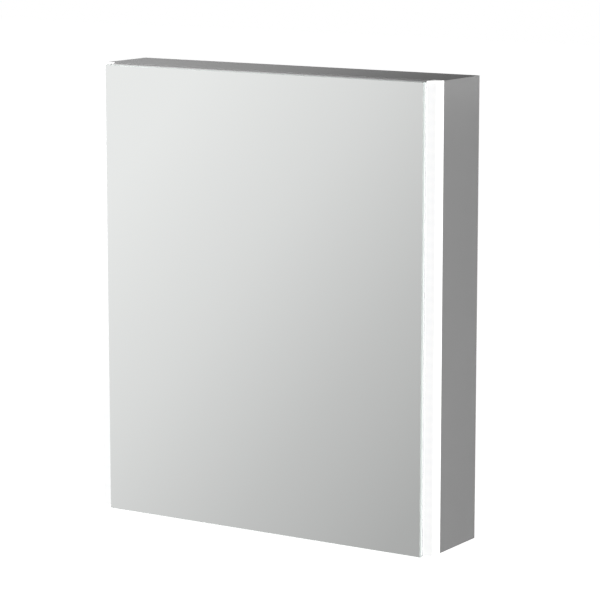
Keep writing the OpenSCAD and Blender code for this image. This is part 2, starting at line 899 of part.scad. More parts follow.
module short_links(i) {
    color("lightgray") at_hinge(i) difference() {
        both_lanes(short_in, short_out) {
            bent_bar(concat([short_cup_pivot], short_elbows, [short_arm_pivot]), short_bar_w);
            translate(short_cup_pivot) circle(wide_eye_r);
            translate(short_arm_pivot) circle(eye_r);
        }
        bore(short_arm_pivot, pin_r + pin_clear);
        bore(short_cup_pivot, pin_r + open_clear);
    }
}

// Cup with its flange, two cheeks for the short links' pin and two lugs for the long link's pin.
module hinge_cup(i) {
    bore_r = cup_r - cup_wall;
    notch = cheek_out + notch_clear;
    foot = [short_cup_pivot.x, cup_floor - cup_wall / 2];
    color("silver") at_hinge(i) difference() {
        union() {
            difference() {
                union() {
                    rod_y(cup_x, 0, cup_r, -cup_depth, flange_t / 2);
                    rotate([-90, 0, 0]) linear_extrude(flange_t) {
                        translate([cup_x, 0]) circle(cup_r + flange_rim);
                        round_rect([cup_x - wing_in, -cup_screw_z - wing_end],
                            [cup_x + cup_screw_x + wing_end, cup_screw_z + wing_end], wing_r);
                    }
                }
                rod_y(cup_x, 0, bore_r, cup_floor, flange_t + cut);
                box([-cut, 0, -notch], [cup_x - notch_reach, flange_t + cut, notch]);
            }
            intersection() {
                rod_y(cup_x, 0, bore_r + cup_wall / 2, cup_floor - cup_wall / 2, 0);
                both_lanes(cheek_in, bore_r) translate([0, cup_floor - cup_wall])
                    square([short_cup_pivot.x + cheek_reach, 2 * cup_wall - cup_floor]);
            }
            both_lanes(lug_in, lug_out) {
                translate(long_cup_pivot) circle(eye_r);
                bent_bar([long_cup_pivot, short_cup_pivot, foot], 2 * eye_r);
            }
        }
        for (p = [long_cup_pivot, short_cup_pivot]) bore(p, pin_r + screw_clear);
        for (s = [-1, 1])
            rod_y(cup_x + cup_screw_x, s * cup_screw_z, screw_r + screw_clear, -cut, flange_t + cut);
    }
}

module cup_pins() {
    color("silver") for (i = [0 : hinge_count - 1]) at_hinge(i) {
        translate(long_cup_pivot) lane(lug_out) circle(pin_r);
        translate(short_cup_pivot) lane(cheek_in + cup_pin_end) circle(pin_r);
    }
}

module cup_screws() {
    color("silver") for (i = [0 : hinge_count - 1], s = [-1, 1]) at_hinge(i)
        translate([cup_x + cup_screw_x, flange_t, s * cup_screw_z]) rotate([-90, 0, 0])
            screw(screw_r, flange_t + cup_screw_l, head_r, head_h);
}

// Door

// Glass with a bevel all round its face: a slab and a thinner, smaller slab joined by sloping edges.
module front_mirror() {
    h = mirror_top - bottom_z;
    b = mirror_bevel;
    color("white") translate([0, -total_d, bottom_z]) intersection() {
        linear_extrude(h) polygon([[-mirror_x + b, 0], [mirror_x - b, 0], [mirror_x, b],
            [mirror_x, mirror_t], [-mirror_x, mirror_t], [-mirror_x, b]]);
        translate([-mirror_x, 0, 0]) rotate([90, 0, 90]) linear_extrude(2 * mirror_x)
            polygon([[0, b], [0, h - b], [b, h], [mirror_t, h], [mirror_t, 0], [b, 0]]);
    }
}

// Core with the cups' bores, a relieved rear corner at the hinges and the finger pull at the foot.
module door_core() {
    low = bottom_z + core_inset;
    high = mirror_top - core_inset;
    x = mirror_x - core_inset;
    front = core_back - core_t;
    color("lightgray") difference() {
        translate([0, 0, low]) linear_extrude(high - low)
            polygon([[-x, front], [x, front], [x, core_back],
                [-x + core_relief, core_back], [-x, core_back - core_relief]]);
        for (i = [0 : hinge_count - 1]) at_hinge(i) {
            rod_y(cup_x, 0, cup_r + screw_clear, -cup_depth, cut);
            for (s = [-1, 1])
                rod_y(cup_x + cup_screw_x, s * cup_screw_z, screw_r + screw_clear,
                    -cup_screw_l - pilot_spare, cut);
        }
        translate([-half_w, core_back, low]) rotate([90, 0, 90]) linear_extrude(cabinet_w)
            polygon([[cut, -cut], [-pull_d, -cut], [-pull_d, pull_lip], [0, pull_h], [cut, pull_h]]);
    }
}

module rear_mirror() {
    low = bottom_z + rear_margin;
    high = mirror_top - rear_margin;
    color("white") translate([0, core_back + rear_mirror_t, 0]) rotate([90, 0, 0])
        linear_extrude(rear_mirror_t)
            round_rect([-mirror_x + rear_hinge_margin, low], [mirror_x - rear_margin, high], rear_corner_r);
}

// Soft stops on the core's free side that meet the carcass edge.
module door_buffers() {
    color("whitesmoke") for (z = [inner_bottom - buffer_r - buffer_end_gap, carcass_top - panel_t / 2])
        rod_y(mirror_x - buffer_inset, z, buffer_r, core_back, core_back + edge_y - buffer_gap);
}

side_panel_left();
side_panel_right();
top_panel();
bottom_panel();
back_panel();
glass_shelf(0);  // shelf_lower
glass_shelf(1);  // shelf_upper
shelf_supports();
light_profile();  // light_profile_left
mirror([1, 0, 0]) light_profile();  // light_profile_right
led_board();  // led_board_left
mirror([1, 0, 0]) led_board();  // led_board_right
diffuser();  // diffuser_left
mirror([1, 0, 0]) diffuser();  // diffuser_right
strip_caps();
wall_rail();
hanger_left();
hanger_right();
hanger_hooks();
hanger_screws();
hanger_covers();
wall_spacers();
driver_cover();
cover_screws();
led_driver();
terminal_block();
cable_grommet();
switch_frame();
switch_rocker();
hinge_plate(0);  // hinge_plate_low
hinge_plate(1);  // hinge_plate_mid
hinge_plate(2);  // hinge_plate_high
hinge_arm(0);  // hinge_arm_low
hinge_arm(1);  // hinge_arm_mid
hinge_arm(2);  // hinge_arm_high
plate_screws();
arm_screws();
arm_pins();
long_link(0);  // long_link_low
long_link(1);  // long_link_mid
long_link(2);  // long_link_high
short_links(0);  // short_links_low
short_links(1);  // short_links_mid
short_links(2);  // short_links_high
hinge_cup(0);  // hinge_cup_low
hinge_cup(1);  // hinge_cup_mid
hinge_cup(2);  // hinge_cup_high
cup_pins();
cup_screws();
front_mirror();
door_core();
rear_mirror();
door_buffers();
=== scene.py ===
"""Looks of a mirror cabinet: one mirrored door between two lit strips, in a satin grey carcass."""

import json
from math import pi, radians

import bmesh
import bpy
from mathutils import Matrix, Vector

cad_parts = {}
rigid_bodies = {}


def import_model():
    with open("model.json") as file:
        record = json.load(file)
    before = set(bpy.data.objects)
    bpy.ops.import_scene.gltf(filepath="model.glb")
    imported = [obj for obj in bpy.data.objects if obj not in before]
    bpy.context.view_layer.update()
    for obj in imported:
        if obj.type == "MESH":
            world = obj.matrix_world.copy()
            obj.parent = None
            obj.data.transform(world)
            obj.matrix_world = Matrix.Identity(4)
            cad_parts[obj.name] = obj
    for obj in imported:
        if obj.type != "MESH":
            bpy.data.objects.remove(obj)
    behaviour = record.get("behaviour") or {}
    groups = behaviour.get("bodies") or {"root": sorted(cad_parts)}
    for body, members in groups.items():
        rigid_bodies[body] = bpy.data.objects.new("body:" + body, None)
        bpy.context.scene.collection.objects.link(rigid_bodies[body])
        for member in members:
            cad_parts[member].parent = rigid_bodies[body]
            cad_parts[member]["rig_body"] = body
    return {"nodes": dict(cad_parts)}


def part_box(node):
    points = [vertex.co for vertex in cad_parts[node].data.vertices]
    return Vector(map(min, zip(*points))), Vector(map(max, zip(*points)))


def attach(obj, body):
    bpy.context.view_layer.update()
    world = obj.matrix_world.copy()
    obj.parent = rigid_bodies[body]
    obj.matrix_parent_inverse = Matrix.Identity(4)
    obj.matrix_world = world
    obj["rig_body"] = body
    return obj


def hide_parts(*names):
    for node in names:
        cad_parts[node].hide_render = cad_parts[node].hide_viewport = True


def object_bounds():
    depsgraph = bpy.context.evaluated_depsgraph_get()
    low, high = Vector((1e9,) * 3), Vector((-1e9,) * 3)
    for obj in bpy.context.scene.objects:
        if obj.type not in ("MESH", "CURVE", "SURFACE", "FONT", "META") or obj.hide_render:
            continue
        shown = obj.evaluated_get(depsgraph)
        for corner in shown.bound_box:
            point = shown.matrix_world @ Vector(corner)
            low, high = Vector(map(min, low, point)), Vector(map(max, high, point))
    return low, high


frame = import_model()
cad_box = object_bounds()
nodes = frame["nodes"]
MM = 0.001
WHITE = (1, 1, 1, 1)
ACROSS, DEEP, UPRIGHT = 0, 1, 2
FRONT = Vector((0, -1, 0))
REAR = Vector((0, 1, 0))
LEFT = Vector((-1, 0, 0))
RIGHT = Vector((1, 0, 0))
HINGE_LEVELS = ("low", "mid", "high")


# Camera: the photograph's viewing angle, found by fitting the cabinet's corners

CAMERA_PLACE = Vector((2211.4, -3489.1, 406.5)) * MM
CAMERA_AZIMUTH = radians(32.50)
CAMERA_PITCH = radians(9.72)
CAMERA_LENS = 163.1
CAMERA_SENSOR = 36
CAMERA_REACH = (0.05, 60)


def make_camera():
    """A camera held level at the photograph's viewing angle, without shift."""
    data = bpy.data.cameras.new("camera")
    data.lens = CAMERA_LENS
    data.sensor_width = CAMERA_SENSOR
    data.clip_start, data.clip_end = CAMERA_REACH
    camera = bpy.data.objects.new("camera", data)
    bpy.context.scene.collection.objects.link(camera)
    camera.location = CAMERA_PLACE
    camera.rotation_euler = (radians(90) - CAMERA_PITCH, 0, CAMERA_AZIMUTH)
    bpy.context.scene.camera = camera


# Shader building blocks

def link(material, source, target):
    """Joins two sockets of a material."""
    material.node_tree.links.new(source, target)


def new_material(name):
    """An empty node material with its Principled shader."""
    material = bpy.data.materials.new(name)
    material.use_nodes = True
    return material, material.node_tree.nodes["Principled BSDF"]


def add_node(tree, kind, **values):
    """A shader node whose properties and inputs are set by name."""
    made = tree.nodes.new(kind)
    for name, value in values.items():
        if hasattr(made, name):
            setattr(made, name, value)
        else:
            made.inputs[name.replace("_", " ")].default_value = value
    return made


def new_group(name, inputs, outputs):
    """A shader node group with named sockets, given as {name: (socket kind, default)}."""
    group = bpy.data.node_groups.new(name, "ShaderNodeTree")
    for label, (kind, default) in inputs.items():
        socket = group.interface.new_socket(label, in_out="INPUT", socket_type="NodeSocket" + kind)
        socket.default_value = default
    for label, kind in outputs.items():
        group.interface.new_socket(label, in_out="OUTPUT", socket_type="NodeSocket" + kind)
    return group, group.nodes.new("NodeGroupInput"), group.nodes.new("NodeGroupOutput")


def place_group(material, group, **values):
    """Puts a group in a material and sets its inputs by name."""
    made = material.node_tree.nodes.new("ShaderNodeGroup")
    made.node_tree = group
    for name, value in values.items():
        made.inputs[name.replace("_", " ").capitalize()].default_value = value
    return made


def scaled_sum(tree, value, factor, offset):
    """value * factor + offset, where each may be a socket or a number."""
    made = add_node(tree, "ShaderNodeMath", operation="MULTIPLY_ADD")
    for place, part in enumerate((value, factor, offset)):
        if isinstance(part, (int, float)):
            made.inputs[place].default_value = part
        else:
            tree.links.new(part, made.inputs[place])
    return made.outputs[0]


def shaded(group, color, level):
    """A colour made lighter or darker by a level that varies over the surface."""
    made = add_node(group, "ShaderNodeVectorMath", operation="SCALE")
    group.links.new(color, made.inputs[0])
    group.links.new(level, made.inputs["Scale"])
    return made.outputs[0]


def seen_directly(tree):
    """1 for rays from the camera and for rays that came through glass, and 0 for the others."""
    path = add_node(tree, "ShaderNodeLightPath")
    seen = add_node(tree, "ShaderNodeMath", operation="MAXIMUM")
    tree.links.new(path.outputs["Is Camera Ray"], seen.inputs[0])
    tree.links.new(path.outputs["Is Transmission Ray"], seen.inputs[1])
    return seen.outputs[0]


# The sprayed coat: noise settings, how far its gloss follows its shade, and the height of its peel

COAT_NOISE_ROUGHNESS = 0.55
COAT_DRIFT_DETAIL = 3.0
COAT_PEEL_DETAIL = 2.0
COAT_GLOSS_DRIFT = 0.08
COAT_PEEL_HEIGHT = 0.4 * MM


def coat_noise(group, source, scale_socket, detail):
    """Noise on the object's own coordinates, its scale taken from one of the group's inputs."""
    coords = add_node(group, "ShaderNodeTexCoord")
    noise = add_node(group, "ShaderNodeTexNoise", Detail=detail, Roughness=COAT_NOISE_ROUGHNESS)
    group.links.new(coords.outputs["Object"], noise.inputs["Vector"])
    group.links.new(source.outputs[scale_socket], noise.inputs["Scale"])
    return noise.outputs["Fac"]


def make_coat_group():
    """Sprayed or moulded surface: a faint drift in shade, a fine peel and an uneven gloss."""
    group, source, result = new_group(
        "sprayed_coat",
        {"Color": ("Color", (0.5, 0.5, 0.5, 1)), "Gloss": ("Float", 0.4),
         "Drift": ("Float", 0.03), "Drift scale": ("Float", 5.0),
         "Peel": ("Float", 0.05), "Peel scale": ("Float", 900.0)},
        {"Color": "Color", "Roughness": "Float", "Normal": "Vector"})
    links = group.links
    patches = coat_noise(group, source, "Drift scale", COAT_DRIFT_DETAIL)
    drift = scaled_sum(group, patches, 1.0, -0.5)
    level = scaled_sum(group, drift, source.outputs["Drift"], 1.0)
    gloss = scaled_sum(group, drift, COAT_GLOSS_DRIFT, source.outputs["Gloss"])
    links.new(shaded(group, source.outputs["Color"], level), result.inputs["Color"])
    links.new(gloss, result.inputs["Roughness"])
    bump = add_node(group, "ShaderNodeBump", Distance=COAT_PEEL_HEIGHT)
    links.new(source.outputs["Peel"], bump.inputs["Strength"])
    links.new(coat_noise(group, source, "Peel scale", COAT_PEEL_DETAIL), bump.inputs["Height"])
    links.new(bump.outputs["Normal"], result.inputs["Normal"])
    return group


# Lined metal: noise settings, how the lines change its shade and gloss, and their height

LINE_NOISE_ROUGHNESS = 0.6
LINE_DETAIL = 3.0
LINE_SHADE = 0.16
LINE_DARKEST = 0.92
LINE_GLOSS = 0.14
LINE_HEIGHT = 0.2 * MM


def make_lines_group():
    """Drawn, ground or pressed metal: fine lines along one axis in its tint, gloss and height."""
    group, source, result = new_group(
        "lined_metal",
        {"Color": ("Color", (0.7, 0.7, 0.7, 1)), "Gloss": ("Float", 0.3),
         "Stretch": ("Vector", (1.0, 1.0, 0.02)), "Line scale": ("Float", 2500.0),
         "Line depth": ("Float", 0.1)},
        {"Color": "Color", "Roughness": "Float", "Normal": "Vector"})
    links = group.links
    coords = add_node(group, "ShaderNodeTexCoord")
    stretch = add_node(group, "ShaderNodeVectorMath", operation="MULTIPLY")
    links.new(coords.outputs["Object"], stretch.inputs[0])
    links.new(source.outputs["Stretch"], stretch.inputs[1])
    noise = add_node(group, "ShaderNodeTexNoise", Detail=LINE_DETAIL,
                     Roughness=LINE_NOISE_ROUGHNESS)
    links.new(stretch.outputs[0], noise.inputs["Vector"])
    links.new(source.outputs["Line scale"], noise.inputs["Scale"])
    lines = noise.outputs["Fac"]
    level = scaled_sum(group, lines, LINE_SHADE, LINE_DARKEST)
    gloss = scaled_sum(group, lines, LINE_GLOSS, source.outputs["Gloss"])
    links.new(shaded(group, source.outputs["Color"], level), result.inputs["Color"])
    links.new(gloss, result.inputs["Roughness"])
    bump = add_node(group, "ShaderNodeBump", Distance=LINE_HEIGHT)
    links.new(source.outputs["Line depth"], bump.inputs["Strength"])
    links.new(lines, bump.inputs["Height"])
    links.new(bump.outputs["Normal"], result.inputs["Normal"])
    return group


COAT = make_coat_group()
LINES = make_lines_group()


# Finishes

GLASS_IOR = 1.52
CHIP_STEP = 16 * MM
WAVE_LENGTH = 2 * pi / 20  # of Blender's wave texture at a scale of 1
GLOW_BETWEEN_CHIPS = (0.97, 0.975, 0.98, 1)
OPAL_COLOR = (0.3, 0.3, 0.3, 1)
OPAL_SPECULAR = 0.2


def wire(material, shader, group_node):
    """Joins a group's colour, roughness and normal to the shader."""
    link(material, group_node.outputs["Color"], shader.inputs["Base Color"])
    link(material, group_node.outputs["Roughness"], shader.inputs["Roughness"])
    link(material, group_node.outputs["Normal"], shader.inputs["Normal"])


def coated(name, color, gloss, specular=0.5, glow=0.0, **grain):
    """Lacquer, plastic or rubber in one colour, with its own gloss and surface grain."""
    material, shader = new_material(name)
    wire(material, shader, place_group(material, COAT, color=(*color, 1), gloss=gloss, **grain))
    shader.inputs["Specular IOR Level"].default_value = specular
    shader.inputs["Emission Color"].default_value = WHITE
    shader.inputs["Emission Strength"].default_value = glow
    return material


def metallic(name, color, gloss, stretch, line_depth=0.1):
    """Bare or plated metal with the lines that its working left."""
    material, shader = new_material(name)
    lines = place_group(material, LINES, color=(*color, 1), gloss=gloss, stretch=stretch,
                        line_depth=line_depth)
    wire(material, shader, lines)
    shader.inputs["Metallic"].default_value = 1.0
    return material


def silvered():
    """Silvered glass seen from its face: a clean reflection with a faint green tint."""
    material, shader = new_material("silvered_glass")
    coat = place_group(material, COAT, color=(0.955, 0.97, 0.96, 1), drift=0.006, drift_scale=3.0)
    link(material, coat.outputs["Color"], shader.inputs["Base Color"])
    shader.inputs["Roughness"].default_value = 0.0
    shader.inputs["Metallic"].default_value = 1.0
    return material


def clear_glass(name, tint):
    """Polished glass that is seen through."""
    material, shader = new_material(name)
    coat = place_group(material, COAT, color=(*tint, 1), drift=0.02, drift_scale=4.0)
    link(material, coat.outputs["Color"], shader.inputs["Base Color"])
    shader.inputs["Roughness"].default_value = 0.0
    shader.inputs["IOR"].default_value = GLASS_IOR
    shader.inputs["Transmission Weight"].default_value = 1.0
    return material


def lit_opal(name, glow_level):
    """Opal diffuser lit from inside: nearly even, a touch brighter in front of each light chip."""
    material, shader = new_material(name)
    tree = material.node_tree
    coords = add_node(tree, "ShaderNodeTexCoord")
    chips = add_node(tree, "ShaderNodeTexWave", wave_type="BANDS", bands_direction="Z",
                     wave_profile="SIN", Scale=WAVE_LENGTH / CHIP_STEP)
    link(material, coords.outputs["Object"], chips.inputs["Vector"])
    glow = add_node(tree, "ShaderNodeMixRGB", Color1=GLOW_BETWEEN_CHIPS, Color2=WHITE)
    link(material, chips.outputs["Fac"], glow.inputs["Fac"])
    link(material, glow.outputs[0], shader.inputs["Emission Color"])
    coat = place_group(material, COAT, color=OPAL_COLOR, gloss=0.45, drift=0.02)
    wire(material, shader, coat)
    shader.inputs["Specular IOR Level"].default_value = OPAL_SPECULAR
    shader.inputs["Emission Strength"].default_value = glow_level
    return material


paint = coated("satin_grey", (0.27, 0.27, 0.27), gloss=0.5, specular=0.03, drift=0.05)
core_paint = coated("core_grey", (0.61, 0.61, 0.61), gloss=0.5, specular=0.3, drift=0.05)
# Paler grey for the door core's upright ends: painted light from the lit strips beside them
core_end_painted_light = coated("core_end_painted_light", (0.66, 0.67, 0.67), gloss=0.4)
silver = silvered()
glass_edge = coated("ground_glass_edge", (0.44, 0.475, 0.46), gloss=0.12, specular=0.2, drift=0.03,
                    peel=0.03)
# Upright ends of the front mirror's glass: a lighter colour that is painted light from the lit
# strips beside them
painted_lit_edge = coated("painted_lit_glass_edge", (0.46, 0.50, 0.485), gloss=0.12, drift=0.03, peel=0.03)
mirror_back = coated("mirror_back_paint", (0.30, 0.33, 0.34), gloss=0.5, drift=0.1)
shelf_glass = clear_glass("shelf_glass", (0.94, 0.98, 0.965))
green_edge = clear_glass("shelf_glass_edge", (0.50, 0.78, 0.68))
opal_front = lit_opal("lit_opal_front", 0.6)
opal_side = lit_opal("lit_opal_side", 1.0)
opal_inner = lit_opal("lit_opal_inner", 3.0)
lit_cap = coated("lit_cap", (0.86, 0.86, 0.86), gloss=0.4, glow=0.4)
white_plastic = coated("white_plastic", (0.76, 0.76, 0.75), gloss=0.38, peel=0.1)
gloss_plastic = coated("gloss_plastic", (0.78, 0.78, 0.77), gloss=0.15, peel=0.02)
powder_coat = coated("powder_coat", (0.73, 0.73, 0.72), gloss=0.5, peel=0.25, peel_scale=1500.0)
soft_rubber = coated("soft_rubber", (0.03, 0.03, 0.03), gloss=0.6, peel=0.2)
clear_buffer = coated("clear_buffer", (0.72, 0.75, 0.78), gloss=0.2)
ivory = coated("ivory_plastic", (0.70, 0.68, 0.58), gloss=0.4, peel=0.1)
solder_mask = coated("solder_mask", (0.82, 0.82, 0.78), gloss=0.3, peel=0.05)
anodised = metallic("anodised", (0.72, 0.72, 0.73), gloss=0.32, stretch=(1.0, 1.0, 0.02))
nickel = metallic("nickel", (0.74, 0.73, 0.71), gloss=0.22, stretch=(1.0, 1.0, 0.05),
                  line_depth=0.05)
zinc = metallic("bright_zinc", (0.78, 0.79, 0.81), gloss=0.22, stretch=(1.0, 1.0, 1.0),
                line_depth=0.05)
zinc_sheet = metallic("zinc_sheet", (0.62, 0.63, 0.64), gloss=0.36, stretch=(0.05, 1.0, 1.0))


# Modelling tools

SAME_WAY = 0.99  # cosine above which two directions count as one
SAME_PLANE = 0.02 * MM
WELD_REACH = 0.001 * MM
FLAT_ANGLE = radians(0.5)
SMOOTH_ANGLE = radians(30)
SHARP_ANGLE = radians(40)
EDGE_STEPS = 2
CORNER_STEPS = 8


def deselect():
    """Leaves edit mode and clears the selection."""
    if bpy.context.object and bpy.context.object.mode != "OBJECT":
        bpy.ops.object.mode_set(mode="OBJECT")
    bpy.ops.object.select_all(action="DESELECT")


def activate(piece):
    """Makes a piece the only one selected."""
    deselect()
    piece.select_set(True)
    bpy.context.view_layer.objects.active = piece


def box_piece(name, low, high):
    """A box between two corners, started from a cube, with its place in its mesh."""
    deselect()
    low, high = Vector(low), Vector(high)
    bpy.ops.mesh.primitive_cube_add(size=1, location=(low + high) / 2)
    piece = bpy.context.object
    piece.name = piece.data.name = name
    piece.scale = high - low
    bpy.ops.object.transform_apply(location=True, rotation=False, scale=True)
    return piece


def pick(piece, kind, test):
    """Opens the piece for editing with those faces or edges selected that pass the test."""
    activate(piece)
    bpy.ops.object.mode_set(mode="EDIT")
    bpy.ops.mesh.select_mode(type=kind)
    bpy.ops.mesh.select_all(action="DESELECT")
    mesh = bmesh.from_edit_mesh(piece.data)
    for part in mesh.faces if kind == "FACE" else mesh.edges:
        part.select_set(test(part))
    bmesh.update_edit_mesh(piece.data)


def close_edit():
    """Goes back to object mode."""
    bpy.ops.object.mode_set(mode="OBJECT")


def facing(direction, limit=SAME_WAY):
    """A test for faces whose normal lies along a direction, or leans that way past a limit."""
    return lambda face: face.normal.dot(direction) > limit


def along(axis):
    """A test for edges that run along an axis."""
    return lambda edge: abs((edge.verts[1].co - edge.verts[0].co).normalized()[axis]) > SAME_WAY


def level_with(axis, place):
    """A test for edges that lie in a plane square to an axis."""
    return lambda edge: all(abs(vert.co[axis] - place) < SAME_PLANE for vert in edge.verts)


def both(first, second):
    """A test that passes where two tests pass."""
    return lambda part: first(part) and second(part)


def bevel_edges(piece, test, width, steps=EDGE_STEPS):
    """Bevels the edges that pass the test."""
    pick(piece, "EDGE", test)
    bpy.ops.mesh.bevel(offset=width, segments=steps, affect="EDGES", clamp_overlap=True)
    close_edit()


def apply_modifier(piece, kind, **values):
    """Adds a modifier with these settings and applies it."""
    activate(piece)
    modifier = piece.modifiers.new("step", kind)
    for name, value in values.items():
        setattr(modifier, name, value)
    bpy.ops.object.modifier_apply(modifier=modifier.name)


def smooth_rounds(piece):
    """Shades the rounds smooth and keeps the flat faces beside them flat."""
    activate(piece)
    bpy.ops.object.shade_smooth_by_angle(angle=SMOOTH_ANGLE)
    apply_modifier(piece, "WEIGHTED_NORMAL", keep_sharp=True)


def round_edges(piece, width):
    """Rounds every sharp edge."""
    apply_modifier(piece, "BEVEL", width=width, segments=EDGE_STEPS, limit_method="ANGLE",
                   angle_limit=SHARP_ANGLE, use_clamp_overlap=True)
    smooth_rounds(piece)


def stand_for(piece, node_name):
    """Puts a piece in the place of its node, on the body that it rides on."""
    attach(piece, nodes[node_name]["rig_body"])
    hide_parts(node_name)


def set_material(piece, material):
    """Gives the whole piece one material."""
    piece.data.materials.clear()
    piece.data.materials.append(material)
    for face in piece.data.polygons:
        face.material_index = 0


def paint_faces(piece, material, test):
    """Gives the faces that pass the test another material."""
    piece.data.materials.append(material)
    for face in piece.data.polygons:
        if test(face):
            face.material_index = len(piece.data.materials) - 1


def merged_copy(node_name):
    """A copy of a CAD node with its triangles joined into clean faces."""
    name = f"{node_name}_eased"
    piece = bpy.data.objects.new(name, nodes[node_name].data.copy())
    piece.data.name = name
    bpy.context.scene.collection.objects.link(piece)
    pick(piece, "FACE", lambda face: True)
    bpy.ops.mesh.remove_doubles(threshold=WELD_REACH)
    bpy.ops.mesh.dissolve_limited(angle_limit=FLAT_ANGLE)
    close_edit()
    return piece


def eased(node_name, material, width):
    """A CAD node's shape with its edges eased, as pressed, moulded or ground edges are."""
    piece = merged_copy(node_name)
    round_edges(piece, width)
    set_material(piece, material)
    stand_for(piece, node_name)
    return piece


# Carcass: four mitred panels with eased front and rear rims and crisp mitred corners

RIM_EASE = 0.6 * MM
PANELS = [
    ("side_panel_left", UPRIGHT),
    ("side_panel_right", UPRIGHT),
    ("top_panel", ACROSS),
    ("bottom_panel", ACROSS),
]


def make_panels():
    """The four panels, each eased along the two rims that run its own way."""
    low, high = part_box("top_panel")
    for name, run in PANELS:
        panel = merged_copy(name)
        for rim in (low[DEEP], high[DEEP]):
            bevel_edges(panel, both(level_with(DEEP, rim), along(run)), RIM_EASE)
        smooth_rounds(panel)
        set_material(panel, paint)
        stand_for(panel, name)


# Mirrors

FRONT_ARRIS = 0.8 * MM
REAR_ARRIS = 0.5 * MM
REAR_CORNER = 4 * MM
GLASS_END = 0.6  # least sideways lean of the end faces, so that their arris counts too


def make_mirror(name, face_side, arris, corner=0, end_material=glass_edge):
    """A sheet of mirror glass: silvered face, ground edges with an arris, painted back, and upright
    ends in their own material, which on the front mirror is painted lighter as painted light from
    the strips.
    """
    low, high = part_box(name)
    sheet = box_piece(f"{name}_glass", low, high)
    if corner:
        bevel_edges(sheet, along(DEEP), corner, CORNER_STEPS)
    face_place = low[DEEP] if face_side is FRONT else high[DEEP]
    bevel_edges(sheet, level_with(DEEP, face_place), arris, steps=1)
    smooth_rounds(sheet)
    set_material(sheet, glass_edge)
    # The upright ends: on the front mirror their colour is painted light from the strips
    paint_faces(sheet, end_material, lambda face: abs(face.normal.x) > GLASS_END)
    paint_faces(sheet, silver, facing(face_side))
    paint_faces(sheet, mirror_back, facing(-face_side))
    stand_for(sheet, name)


# Shelves

SHELF_CORNER = 6 * MM
SHELF_ARRIS = 0.6 * MM


def make_shelf(name):
    """A glass shelf with round front corners, polished arrises and greenish edges."""
    low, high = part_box(name)
    shelf = box_piece(f"{name}_glass", low, high)
    front_corners = both(level_with(DEEP, low[DEEP]), along(UPRIGHT))
    bevel_edges(shelf, front_corners, SHELF_CORNER, CORNER_STEPS)
    for level in (low[UPRIGHT], high[UPRIGHT]):
        bevel_edges(shelf, level_with(UPRIGHT, level), SHELF_ARRIS)
    smooth_rounds(shelf)
    set_material(shelf, green_edge)
    paint_faces(shelf, shelf_glass, lambda face: abs(face.normal.z) > SAME_WAY)
    stand_for(shelf, name)


# Pieces with eased edges: node, finish and width of the easing in millimetres

EASED = [
    ("strip_caps", lit_cap, 0.3),
    ("shelf_supports", nickel, 0.3),
    ("wall_rail", zinc_sheet, 0.6),
    ("hanger_left", white_plastic, 0.8),
    ("hanger_right", white_plastic, 0.8),
    ("hanger_hooks", zinc_sheet, 0.3),
    ("hanger_screws", zinc, 0.3),
    ("hanger_covers", white_plastic, 0.5),
    ("wall_spacers", white_plastic, 0.8),
    ("driver_cover", powder_coat, 0.4),
    ("cover_screws", zinc, 0.3),
    ("led_driver", white_plastic, 0.8),
    ("terminal_block", ivory, 0.4),
    ("cable_grommet", soft_rubber, 0.5),
    ("switch_frame", gloss_plastic, 0.4),
    ("switch_rocker", gloss_plastic, 0.5),
    ("plate_screws", zinc, 0.3),
    ("arm_screws", zinc, 0.3),
    ("cup_screws", zinc, 0.3),
    ("door_buffers", clear_buffer, 1.2),
]
EASED_HINGES = [
    ("hinge_plate", 0.3),
    ("hinge_arm", 0.25),
    ("hinge_cup", 0.25),
    ("long_link", 0.3),
    ("short_links", 0.2),
]
CORE_EASE = 0.5 * MM
CORE_END = 0.7  # least sideways lean of the core's end faces
CORE_END_DEPTH = 1 * MM
OPAL_EASE = 0.4 * MM
OPAL_INNER = 0.3  # least lean towards the door, so that the rounding beside it counts too


def make_small_parts():
    """Fittings, switch, supply and hinges."""
    for name, material, width in EASED:
        eased(name, material, width * MM)
    for kind, width in EASED_HINGES:
        for level in HINGE_LEVELS:
            eased(f"{kind}_{level}", nickel, width * MM)


def make_core():
    """The door's core: grey, with its two upright ends painted paler as painted light from the lit
    strips beside them.
    """
    core = eased("door_core", core_paint, CORE_EASE)
    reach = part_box("door_core")[1][ACROSS] - CORE_END_DEPTH
    paint_faces(core, core_end_painted_light, both(lambda face: abs(face.normal.x) > CORE_END,
                                      lambda face: abs(face.center.x) > reach))


def make_diffuser(name, inward):
    """The opal cover of a light strip. Its front glows least and its side next to the door most."""
    cover = eased(name, opal_side, OPAL_EASE)
    paint_faces(cover, opal_front, facing(FRONT))
    paint_faces(cover, opal_inner, facing(inward, OPAL_INNER))


# CAD nodes that keep their own shape, with their finish

KEPT_NODES = [
    (paint, ["back_panel"]),
    (anodised, ["light_profile_left", "light_profile_right"]),
    (solder_mask, ["led_board_left", "led_board_right"]),
    (zinc, ["arm_pins", "cup_pins"]),
]


def finish_kept_nodes():
    """Gives the CAD nodes that keep their own shape their finish."""
    for material, names in KEPT_NODES:
        for name in names:
            nodes[name].material_slots[0].material = material


# Light and surroundings

FLOOR_DROP = 0.95
FLOOR_SIZE = 40
FLOOR_COLOR = (0.8, 0.8, 0.8, 1)
FLOOR_ROUGHNESS = 0.9
FLOOR_GLOW = 0.92  # with the lamps' light it renders white
WORLD_LEVEL = 0.115
SWEEP_AXIS = (-0.883, 0.0, 0.469)
SWEEP = [(0.0, 0.55), (0.30, 0.80), (0.45, 0.66), (0.55, 0.50), (0.62, 0.38), (0.655, 0.42),
         (0.68, 0.552), (0.705, 0.716), (0.73, 0.834), (0.76, 0.87), (0.83, 0.60), (1.0, 0.72)]

